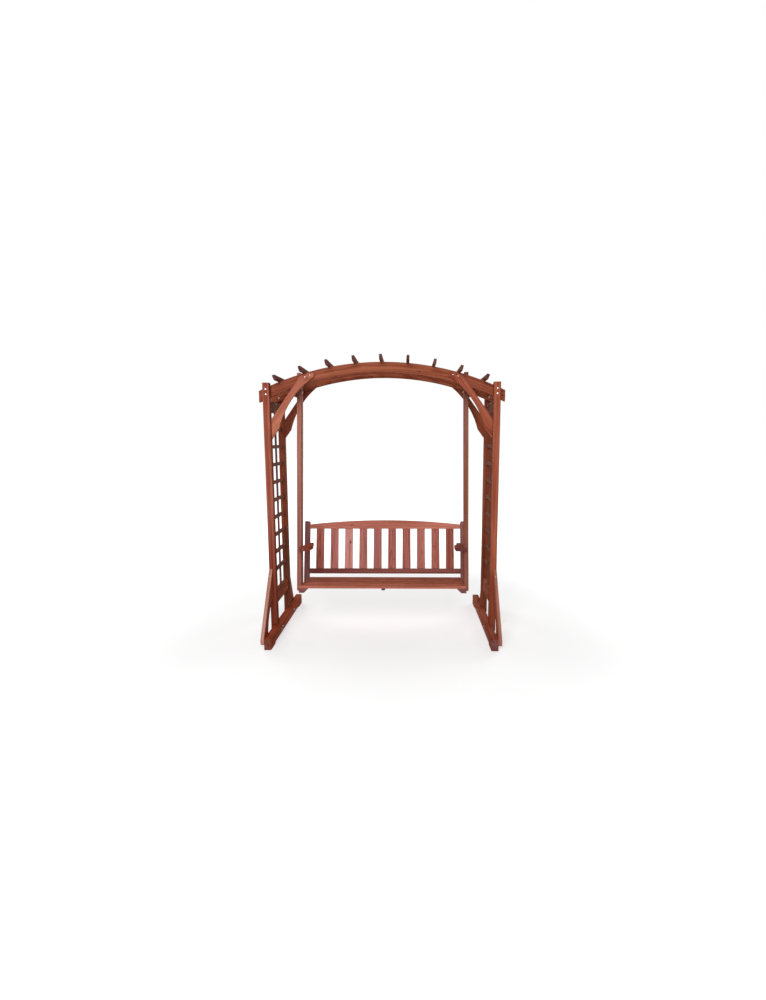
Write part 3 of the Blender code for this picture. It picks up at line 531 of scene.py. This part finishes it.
def wood_material(name, node, draw):
    """One board's own stained wood, with painted light and shade where the tables give it some."""
    material, shader, g = new_material("wood_" + name)
    low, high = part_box(name)
    centre = (low + high) / 2
    seed = Vector([draw.uniform(0, GRAIN_REACH) for axis in range(3)])
    pith = (draw.uniform(-PITH_SLOPE, PITH_SLOPE), draw.uniform(-PITH_SIDE_STEP, PITH_SIDE_STEP),
            draw.choice((-1, 1)) * draw.uniform(*PITH_DEPTH))
    plain = (draw.uniform(*PLAIN_TONE), draw.uniform(*PLAIN_PURPLE), 0.0)
    # Brightness, purple and thin stain: each board's own tone, and on some boards painted light and shade
    tone, purple, thin = BOARD_TONES_AND_PAINTED_LIGHT.get(name, plain)
    if name.startswith("arch_beam"):
        place, normal = arch_places(g, centre.y)
    elif name.startswith("trellis"):
        place, normal, seed = trellis_places(g, SIDES[name.split("_")[1]], seed)
    else:
        place, normal = board_places(g, turn_to(*main_directions(node.data)), centre)
    dark, light = stain_for(name)
    # Painted shade low on some posts
    low_from, low_to, low_shade = LOW_SHADE_TONES.get(name, PLAIN_LOW)
    values = {
        "Position": place,
        "Normal": normal,
        "Seed": GRAIN_PLACES.get(name, seed),
        "Pith": pith,
        "Knot": KNOTS.get(name, NO_KNOT),
        "Dark": board_colour(dark, tone, thin, THIN_DARK_SHARE),
        "Light": board_colour(light, tone, thin),
        "Purple": purple,
        # On the seat slats the wear also paints a highlight along their eased edges
        "Wear And Highlight": SEAT_WEAR_AND_HIGHLIGHT if name.startswith("seat_slat") else BOARD_WEAR,
        # Narrow sides: painted light where they catch the lamp
        "Edge Tone And Light": EDGE_TONES_AND_LIGHT.get(name, PLAIN_EDGE),
        "Low Shade": low_shade,
        "Low Span": (low_from - centre.z, low_to - centre.z, 0.0),
    }
    wood = g.add("ShaderNodeGroup", node_tree=WOOD)
    for key, value in values.items():
        g.wire(wood.inputs[key], value)
    g.wire(shader.inputs["Base Color"], wood.outputs["Color"])
    g.wire(shader.inputs["Roughness"], wood.outputs["Roughness"])
    g.wire(shader.inputs["Normal"], g.bump(wood.outputs["Height"], *WOOD_BUMP))
    shader.inputs["Specular IOR Level"].default_value = WOOD_SPECULAR
    return material


# Noises of the steel, where a cloud dulls its colour and its gloss, what a scratch adds, and its bump
CLOUD_NOISE = ((190.0, 190.0, 190.0), 3.0, 0.6)
SCRATCH_NOISE = ((240.0, 2400.0, 900.0), 2.0, 0.6)
DULLED_COLOUR = (0.42, 0.66)
DULLED_GLOSS = (0.35, 0.70)
SCRATCH_ROUGHNESS = 0.08
METAL_BUMP = (0.25, 0.0001)


def metal_material(name, base, dull, rough_low, rough_high):
    """Plated or coated steel with a little tarnish and fine scratches."""
    material, shader, g = new_material(name)
    room = g.add("ShaderNodeTexCoord").outputs["Object"]
    cloud = g.noise(room, *CLOUD_NOISE)
    scratch = g.noise(room, *SCRATCH_NOISE)
    g.wire(shader.inputs["Base Color"], g.mix(g.step(cloud, *DULLED_COLOUR), (*base, 1.0), (*dull, 1.0)))
    rough = g.total(g.step(cloud, *DULLED_GLOSS, rough_low, rough_high), g.times(scratch, SCRATCH_ROUGHNESS))
    g.wire(shader.inputs["Roughness"], rough)
    g.wire(shader.inputs["Normal"], g.bump(scratch, *METAL_BUMP))
    shader.inputs["Metallic"].default_value = 1.0
    return material


# Metals: colour and dulled colour, then roughness where they are bright and where they are dulled
ZINC = metal_material("bright_zinc", (0.80, 0.79, 0.77), (0.62, 0.60, 0.57), 0.22, 0.40)
# Weathered zinc, darkened further as painted shade for the nuts and bolts that sit in shade
DULL_AND_SHADED_ZINC = metal_material("weathered_and_shaded_zinc", (0.36, 0.32, 0.29), (0.22, 0.17, 0.14), 0.45, 0.65)
BRONZE = metal_material("bronze_coated_screw", (0.20, 0.115, 0.075), (0.11, 0.060, 0.045), 0.38, 0.60)


def dress_nodes():
    """Give every board of the model its own wood, and the pivot bolts zinc."""
    draw = random.Random(DRAW_SEED)
    for name in sorted(nodes):
        node = nodes[name]
        material = ZINC if name.startswith("pivot_bolt") else wood_material(name, node, draw)
        node.data.materials.clear()
        node.data.materials.append(material)


# Rings of a fastener: the number of waves round each, and their depth as a share of its radius
ROUND = (0, 0.0)
CROSS = (4, 0.42)
# How many sides each kind of ring has
TURNED_SIDES = 28
SCREW_SIDES = 24
THREAD_SIDES = 18
PIVOT_THREAD_SIDES = 22
HEX_SIDES = 6
# Edges flatter than this many degrees are shaded smooth
SMOOTH_ANGLE = 35

# A dome, as shares of its size: radius at its base, height of its straight rim and radius of its flat top
DOME_BASE = 0.97
DOME_RIM = 0.10
DOME_FLAT = 0.10
DOME_STEPS = 6
# A six-sided nut, as shares of its size: height of its eased rim and radius at its faces
HEX_RIM = 0.10
HEX_FACE = 0.93
# A thread: its pitch, then its root, its tip and the start of its tip as shares of its size
THREAD_PITCH = 0.0016
THREAD_ROOT = 0.86
THREAD_TIP = 0.70
THREAD_TIP_START = 0.97

# A small bolt: how far its washers are let into the wood, their thickness, and its nut and thread
WASHER_SINK = 0.0002
WASHER_THICKNESS = 0.0020
NUT_HEIGHT = 0.0075
THREAD_SINK = 0.0001
THREAD_LENGTH = 0.0058
# Its head's washer and height, as shares of the head's radius
HEAD_WASHER = 1.35
HEAD_HEIGHT = 0.52
# Its nut's washer and thread, as shares of the nut's width
NUT_WASHER = 0.84
NUT_THREAD = 0.29
# A screw head: share of its radius, height over the wood, and waves of each ring
SCREW_PROFILE = (
    (0.90, -0.0006, ROUND), (1.00, 0.0001, ROUND), (0.93, 0.0006, ROUND),
    (0.46, 0.0007, CROSS), (0.34, -0.0004, CROSS),
)


def ring_of(shape, place, radius, height, sides, waves=ROUND):
    """A ring of points about a fastener's axis, round or with a few waves."""
    count, depth = waves
    ring = []
    for step in range(sides):
        angle = 2 * math.pi * step / sides
        reach = radius * (1 + depth * math.cos(count * angle))
        point = Vector((reach * math.cos(angle), reach * math.sin(angle), height))
        ring.append(shape.verts.new(place @ point))
    return ring


def join_rings(shape, rings):
    """Cap the first and the last ring, and join each ring to the next one."""
    shape.faces.new(rings[0])
    shape.faces.new(rings[-1])
    for ring, following in zip(rings, rings[1:]):
        for step in range(len(ring)):
            after = (step + 1) % len(ring)
            shape.faces.new((ring[step], ring[after], following[after], following[step]))


def add_turned(shape, place, profile, sides=TURNED_SIDES):
    """Add a closed solid turned about a fastener's axis, from the radius, height and waves of each ring."""
    rings = [ring_of(shape, place, radius, height, sides, waves) for radius, height, waves in profile]
    join_rings(shape, rings)


def washer(radius, base, thickness):
    """Profile of a flat washer with eased rims."""
    ease = thickness / 4
    return [(radius - ease, base, ROUND), (radius, base + ease, ROUND),
            (radius, base + thickness - ease, ROUND), (radius - ease, base + thickness, ROUND)]


def dome(radius, base, height):
    """Profile of a domed bolt head."""
    profile = [(radius * DOME_BASE, base, ROUND), (radius, base + height * DOME_RIM, ROUND)]
    for step in range(1, DOME_STEPS):
        angle = math.pi / 2 * step / DOME_STEPS
        rise = height * (DOME_RIM + (1 - DOME_RIM) * math.sin(angle))
        profile.append((radius * math.cos(angle), base + rise, ROUND))
    profile.append((radius * DOME_FLAT, base + height, ROUND))
    return profile


def add_hex(shape, place, across_flats, base, height):
    """Add a six-sided nut with its corners turned off at both faces."""
    corner = across_flats / 2 / math.cos(math.pi / HEX_SIDES)
    rim = height * HEX_RIM
    levels = [(corner * HEX_FACE, base), (corner, base + rim),
              (corner, base + height - rim), (corner * HEX_FACE, base + height)]
    join_rings(shape, [ring_of(shape, place, radius, level, HEX_SIDES) for radius, level in levels])


def thread(radius, base, length):
    """Profile of a bolt's threaded end, as rings of alternate radius."""
    profile = []
    count = max(2, round(length / THREAD_PITCH))
    for turn in range(count):
        start = base + length * turn / count
        profile += [(radius * THREAD_ROOT, start, ROUND), (radius, start + length / count / 2, ROUND)]
    profile.append((radius * THREAD_ROOT, base + length * THREAD_TIP_START, ROUND))
    profile.append((radius * THREAD_TIP, base + length, ROUND))
    return profile


def facing(point, direction, spin=0.0):
    """Place of a fastener that sits at a point and faces a direction."""
    turn = Vector(direction).to_track_quat("Z", "Y").to_matrix().to_4x4()
    return Matrix.Translation(Vector(point)) @ turn @ Matrix.Rotation(spin, 4, "Z")


def finish_piece(name, shape, material, body):
    """Close a fastener mesh into a named piece that rides on a body."""
    bmesh.ops.recalc_face_normals(shape, faces=shape.faces[:])
    mesh = bpy.data.meshes.new(name)
    shape.to_mesh(mesh)
    shape.free()
    mesh.materials.append(material)
    mesh.shade_smooth()
    mesh.set_sharp_from_angle(angle=math.radians(SMOOTH_ANGLE))
    piece = bpy.data.objects.new(name, mesh)
    bpy.context.scene.collection.objects.link(piece)
    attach(piece, body)
    return piece


def bolt_head(shape, place, radius):
    """A domed head on a washer."""
    add_turned(shape, place, washer(radius * HEAD_WASHER, -WASHER_SINK, WASHER_THICKNESS))
    add_turned(shape, place, dome(radius, WASHER_THICKNESS - WASHER_SINK, radius * HEAD_HEIGHT))


def bolt_nut(shape, place, across_flats):
    """A nut on a washer with the bolt's threaded end through it."""
    nut_base = WASHER_THICKNESS - WASHER_SINK
    thread_base = nut_base + NUT_HEIGHT - THREAD_SINK
    add_turned(shape, place, washer(across_flats * NUT_WASHER, -WASHER_SINK, WASHER_THICKNESS))
    add_hex(shape, place, across_flats, nut_base, NUT_HEIGHT)
    add_turned(shape, place, thread(across_flats * NUT_THREAD, thread_base, THREAD_LENGTH), THREAD_SIDES)


def screw_head(shape, place, radius):
    """A flat screw head just proud of the wood, with a cross recess."""
    profile = [(radius * share, height, waves) for share, height, waves in SCREW_PROFILE]
    add_turned(shape, place, profile, SCREW_SIDES)


# Frame bolts: the faces that they sit on, their places on these, their radii and their nuts' widths
POST_FACE = 0.268
BEAM_INNER_FACE = 0.172
POST_BOLT_HEIGHTS = (2.2005, 2.1570)
POST_BOLT_RADIUS = 0.0051
POST_NUT_WIDTH = 0.0105
KNEE_FACE = 0.235
KNEE_BOLTS = ((0.658, 2.3060), (0.613, 2.3185))
KNEE_BOLT_RADIUS = 0.0031
CHEEK_OUTER_FACE = 1.020
FOOT_INNER_FACE = 0.930
FOOT_BOLTS = ((0.222, 0.0665), (0.254, 0.0480))
FOOT_BOLT_RADIUS = 0.0060
FOOT_NUT_WIDTH = 0.0090
# Spins turn nuts and screws about their own axes, so that they aren't all alike. They are in radians, or in
# radians for each metre of height or depth
POST_NUT_SPIN = 9
FOOT_NUT_SPIN = 5


def add_frame_bolts():
    """Bolts through posts and beams, knee braces and beams, and post cheeks and feet."""
    for side_name, side in SIDES.items():
        for end_name, end in ENDS.items():
            where = f"{end_name}_{side_name}"
            outward = (0, end, 0)
            inward = (0, -end, 0)
            heads = bmesh.new()
            nuts = bmesh.new()
            for height in POST_BOLT_HEIGHTS:
                head_point = (side * POST_X, end * POST_FACE, height)
                nut_point = (side * POST_X, end * BEAM_INNER_FACE, height)
                bolt_head(heads, facing(head_point, outward), POST_BOLT_RADIUS)
                bolt_nut(nuts, facing(nut_point, inward, height * POST_NUT_SPIN), POST_NUT_WIDTH)
            finish_piece(f"post_bolts_{where}", heads, ZINC, "arbor")
            finish_piece(f"post_nuts_{where}", nuts, DULL_AND_SHADED_ZINC, "arbor")
            shape = bmesh.new()
            for x, height in KNEE_BOLTS:
                bolt_head(shape, facing((side * x, end * KNEE_FACE, height), outward), KNEE_BOLT_RADIUS)
            finish_piece(f"knee_bolts_{where}", shape, ZINC, "arbor")
            shape = bmesh.new()
            for y, height in FOOT_BOLTS:
                head_point = (side * CHEEK_OUTER_FACE, end * y, height)
                nut_point = (side * FOOT_INNER_FACE, end * y, height)
                bolt_head(shape, facing(head_point, (side, 0, 0)), FOOT_BOLT_RADIUS)
                bolt_nut(shape, facing(nut_point, (-side, 0, 0), y * FOOT_NUT_SPIN), FOOT_NUT_WIDTH)
            finish_piece(f"foot_bolts_{where}", shape, DULL_AND_SHADED_ZINC, "arbor")


FRAME_SCREW_RADIUS = 0.0048
# Foot braces: their front edge slopes from the post's face at the top to a nose at the bottom
BRACE_FACE = 0.2683
BRACE_TOP = 0.618
BRACE_NOSES = {"front": 0.605, "rear": 0.500}
BRACE_NOSE_HEIGHT = 0.092
BRACE_SCREW_X = 1.005
BRACE_SCREW_HEIGHT = 0.560
BRACE_SCREW_RADIUS = 0.0036
BRACE_SCREW_SPIN = 0.4
# Side rails: their inner face, the screws at their ends, and the one at the head of the trellis slat
RAIL_INNER_FACE = 0.976
RAIL_SCREW_Y = 0.188
RAIL_SCREW_HEIGHTS = (2.080, 2.035, 0.372, 0.300)
RAIL_SCREW_SPIN = 6
SLAT_SCREW_HEIGHT = 2.0905
SLAT_SCREW_SPIN = 0.5


def add_side_screws():
    """Screws in the foot braces and the side rails of each side."""
    for side_name, side in SIDES.items():
        shape = bmesh.new()
        inward = (-side, 0, 0)
        for end_name, end in ENDS.items():
            reach = BRACE_NOSES[end_name] - BRACE_FACE
            fall = BRACE_TOP - BRACE_NOSE_HEIGHT
            slope = Vector((reach, -fall)).normalized()
            y = BRACE_FACE + (BRACE_TOP - BRACE_SCREW_HEIGHT) * reach / fall
            point = (side * BRACE_SCREW_X, end * y, BRACE_SCREW_HEIGHT)
            outward = (0, -end * slope.y, slope.x)
            screw_head(shape, facing(point, outward, BRACE_SCREW_SPIN), BRACE_SCREW_RADIUS)
            for height in RAIL_SCREW_HEIGHTS:
                point = (side * RAIL_INNER_FACE, end * RAIL_SCREW_Y, height)
                screw_head(shape, facing(point, inward, height * RAIL_SCREW_SPIN), FRAME_SCREW_RADIUS)
        point = (side * RAIL_INNER_FACE, 0.0, SLAT_SCREW_HEIGHT)
        screw_head(shape, facing(point, inward, SLAT_SCREW_SPIN), FRAME_SCREW_RADIUS)
        finish_piece(f"side_screws_{side_name}", shape, ZINC, "arbor")


# Roof: how many slats it has, their screws' distance from the middle, and the spin from one slat to the next
PURLIN_COUNT = 9
PURLIN_SCREW_Y = 0.1909
PURLIN_SCREW_SPIN = 0.7


def add_roof_screws():
    """A screw through each roof slat into each arched beam."""
    shape = bmesh.new()
    for index in range(1, PURLIN_COUNT + 1):
        name = f"purlin_{index}"
        low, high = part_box(name)
        middle = (low + high) / 2
        outward = Vector((middle.x, 0, middle.z - ARCH_CENTRE)).normalized()
        top = max(vertex.co.dot(outward) for vertex in nodes[name].data.vertices)
        point = middle + outward * (top - middle.dot(outward))
        for end in ENDS.values():
            point.y = end * PURLIN_SCREW_Y
            screw_head(shape, facing(point, outward, index * PURLIN_SCREW_SPIN), FRAME_SCREW_RADIUS)
    finish_piece("roof_screws", shape, BRONZE, "arbor")


# Seat: its tilt at rest, and its screws' places along a slat and across it as shares of its width
SEAT_TILT = math.radians(7.5)
SEAT_SLAT_COUNT = 5
SEAT_SCREW_PLACES = (-0.715, 0.0, 0.715)
SEAT_SCREW_SHARES = (0.22, 0.78)
SEAT_SCREW_RADIUS = 0.0045


def add_seat_screws():
    """Screws that hold the seat slats on their rails."""
    up = Vector((0, math.sin(SEAT_TILT), math.cos(SEAT_TILT)))
    back = Vector((0, math.cos(SEAT_TILT), -math.sin(SEAT_TILT)))
    shape = bmesh.new()
    for index in range(1, SEAT_SLAT_COUNT + 1):
        corners = [vertex.co for vertex in nodes[f"seat_slat_{index}"].data.vertices]
        top = max(corner.dot(up) for corner in corners)
        front = min(corner.dot(back) for corner in corners)
        rear = max(corner.dot(back) for corner in corners)
        for share in SEAT_SCREW_SHARES:
            depth = front + (rear - front) * share
            for x in SEAT_SCREW_PLACES:
                point = up * top + back * depth + Vector((x, 0, 0))
                screw_head(shape, facing(point, up, index + x), SEAT_SCREW_RADIUS)
    finish_piece("seat_screws", shape, BRONZE, "swing")


# Pivots: the bolt's head and its washer on the bar's inner face
PIVOT_HEAD_RADIUS = 0.0100
PIVOT_HEAD_HEIGHT = 0.0070
PIVOT_HEAD_WASHER = 0.0132
# Washers between bar and rail and behind the rail, with the play and the gap in front of them
PIVOT_WASHER = 0.0170
PIVOT_WASHER_THICKNESS = 0.0025
PIVOT_SIDE_PLAY = 0.0006
PIVOT_RAIL_GAP = 0.0003
# The bolt's plain part, from inside the head's washer to inside the nut
PIVOT_SHANK_RADIUS = 0.0080
PIVOT_SHANK_SINK = 0.0005
PIVOT_SHANK_PAST_RAIL = 0.0060
# The nut, and the thread that comes out of it
PIVOT_NUT_WIDTH = 0.0216
PIVOT_NUT_HEIGHT = 0.0100
PIVOT_THREAD_RADIUS = 0.0078
PIVOT_THREAD_SINK = 0.0003


def add_pivots():
    """A domed bolt, washers and a six-sided nut at each pivot, in place of the plain turned ones."""
    for side_name, side in SIDES.items():
        name = f"pivot_bolt_{side_name}"
        low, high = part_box(name)
        near, far = sorted((abs(low.x), abs(high.x)))
        place = facing((side * near, 0, (low.z + high.z) / 2), (side, 0, 0))
        bar_end = max(abs(corner.x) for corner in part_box(f"hanging_bar_{side_name}")) - near
        rail_end = max(abs(corner.x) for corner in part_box(f"hanger_rail_{side_name}")) - near
        shank_start = PIVOT_HEAD_HEIGHT + PIVOT_WASHER_THICKNESS - PIVOT_SHANK_SINK
        nut_base = rail_end + PIVOT_RAIL_GAP + PIVOT_WASHER_THICKNESS
        thread_base = nut_base + PIVOT_NUT_HEIGHT - PIVOT_THREAD_SINK
        profile = dome(PIVOT_HEAD_RADIUS, 0.0, PIVOT_HEAD_HEIGHT)
        head = [(radius, PIVOT_HEAD_HEIGHT - level, waves) for radius, level, waves in reversed(profile)]
        shank = [(PIVOT_SHANK_RADIUS, shank_start, ROUND),
                 (PIVOT_SHANK_RADIUS, rail_end + PIVOT_SHANK_PAST_RAIL, ROUND)]
        shape = bmesh.new()
        add_turned(shape, place, head)
        add_turned(shape, place, washer(PIVOT_HEAD_WASHER, PIVOT_HEAD_HEIGHT, PIVOT_WASHER_THICKNESS))
        add_turned(shape, place, shank)
        for base in (bar_end + PIVOT_SIDE_PLAY, rail_end + PIVOT_RAIL_GAP):
            add_turned(shape, place, washer(PIVOT_WASHER, base, PIVOT_WASHER_THICKNESS))
        add_hex(shape, place, PIVOT_NUT_WIDTH, nut_base, PIVOT_NUT_HEIGHT)
        end = thread(PIVOT_THREAD_RADIUS, thread_base, far - near - thread_base)
        add_turned(shape, place, end, PIVOT_THREAD_SIDES)
        piece = finish_piece(f"pivot_hardware_{side_name}", shape, DULL_AND_SHADED_ZINC, "arbor")
        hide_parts(name)


def aimed(place, direction, roll=0.0):
    """Place of a camera or lamp that looks in a direction."""
    turn = Vector(direction).to_track_quat("-Z", "Y").to_matrix().to_4x4() @ Matrix.Rotation(roll, 4, "Z")
    return Matrix.Translation(Vector(place)) @ turn


# Camera: the photograph's focal length and principal point in its own pixels, then its place and aim
PHOTO_WIDTH = 766
PHOTO_HEIGHT = 1000
FOCAL_PIXELS = 488.7139
CENTRE_X = 398.92
CENTRE_Y = 504.1009
CAMERA_PLACE = (0.2252, -4.5271, 1.7762)
CAMERA_PITCH = 0.1332
CAMERA_YAW = 0.0178
CAMERA_ROLL = -0.0026
SENSOR = 36.0
FAR_CLIP = 200.0


def add_camera():
    """The camera that took the photograph."""
    data = bpy.data.cameras.new("camera")
    camera = bpy.data.objects.new("camera", data)
    bpy.context.scene.collection.objects.link(camera)
    level = math.cos(CAMERA_PITCH)
    forward = (-math.sin(CAMERA_YAW) * level, math.cos(CAMERA_YAW) * level, -math.sin(CAMERA_PITCH))
    camera.matrix_world = aimed(CAMERA_PLACE, forward, CAMERA_ROLL)
    data.sensor_fit = "AUTO"
    data.sensor_width = SENSOR
    data.lens = FOCAL_PIXELS / PHOTO_HEIGHT * SENSOR
    data.shift_x = (PHOTO_WIDTH / 2 - CENTRE_X) / PHOTO_HEIGHT
    data.shift_y = (CENTRE_Y - PHOTO_HEIGHT / 2) / PHOTO_HEIGHT
    data.clip_end = FAR_CLIP
    bpy.context.scene.camera = camera


def seen_share(g):
    """One for rays that show a background: those of the camera, and those of gloss and glass."""
    light_path = g.add("ShaderNodeLightPath").outputs
    share = g.math("MAXIMUM", light_path["Is Camera Ray"], light_path["Is Glossy Ray"])
    return g.math("MAXIMUM", share, light_path["Is Transmission Ray"])


# Floor: half its side, its colour, and how far out its glow grows from its least to its greatest strength
FLOOR_HALF_SIDE = 40.0
FLOOR_COLOUR = (0.66, 0.66, 0.66, 1.0)
GLOW_REACH = (1.6, 4.0)
GLOW_STRENGTH = (0.52, 1.0)


def add_floor():
    """A wide pale floor that keeps the swing's shadow."""
    shape = bmesh.new()
    bmesh.ops.create_grid(shape, x_segments=1, y_segments=1, size=FLOOR_HALF_SIDE)
    mesh = bpy.data.meshes.new("floor")
    shape.to_mesh(mesh)
    shape.free()
    floor = bpy.data.objects.new("floor", mesh)
    bpy.context.scene.collection.objects.link(floor)
    material = bpy.data.materials.new("floor_paper")
    material.use_nodes = True
    material.node_tree.nodes.clear()
    g = Nodes(material.node_tree)
    paper = g.add("ShaderNodeBsdfDiffuse")
    paper.inputs["Color"].default_value = FLOOR_COLOUR
    glow = g.add("ShaderNodeEmission")
    far = g.vector("LENGTH", g.add("ShaderNodeTexCoord").outputs["Object"])
    g.wire(glow.inputs["Strength"], g.times(seen_share(g), g.step(far, *GLOW_REACH, *GLOW_STRENGTH)))
    both = g.add("ShaderNodeAddShader", (paper.outputs[0], glow.outputs[0]))
    out = g.add("ShaderNodeOutputMaterial")
    g.wire(out.inputs["Surface"], both.outputs[0])
    mesh.materials.append(material)


# Lamps: place, side length and power of each, and the point that all of them light
LAMPS = {
    "key": ((-0.7, -7.0, 4.2), 4.4, 440.0),
    "rear_left": ((-5.4, 5.0, 4.0), 4.0, 190.0),
    "rear_right": ((5.4, 5.0, 4.0), 4.0, 190.0),
}
LAMP_TARGET = (0.0, 0.0, 1.1)
# World: its colour, the strength that lights the swing, and the one that the background shows
WORLD_COLOUR = (1.0, 1.0, 1.0, 1.0)
WORLD_LIGHT = 0.17
WORLD_SEEN = 1.0


def add_lamps():
    """Plain soft studio light: a large lamp in front, and one behind each rear corner."""
    for name, (place, size, power) in LAMPS.items():
        data = bpy.data.lights.new(name, "AREA")
        data.shape = "SQUARE"
        data.size = size
        data.energy = power
        lamp = bpy.data.objects.new(name, data)
        bpy.context.scene.collection.objects.link(lamp)
        lamp.matrix_world = aimed(place, Vector(LAMP_TARGET) - Vector(place))


def add_world():
    """A little light from all round, and a white background."""
    world = bpy.data.worlds.new("white")
    bpy.context.scene.world = world
    world.use_nodes = True
    g = Nodes(world.node_tree)
    sky = world.node_tree.nodes["Background"]
    sky.inputs["Color"].default_value = WORLD_COLOUR
    strength = g.add("ShaderNodeMapRange", (seen_share(g), 0.0, 1.0, WORLD_LIGHT, WORLD_SEEN))
    g.wire(sky.inputs["Strength"], strength.outputs[0])


add_camera()
dress_nodes()
add_frame_bolts()
add_side_screws()
add_roof_screws()
add_seat_screws()
add_pivots()
add_floor()
add_lamps()
add_world()
bpy.context.scene.view_settings.view_transform = "Standard"
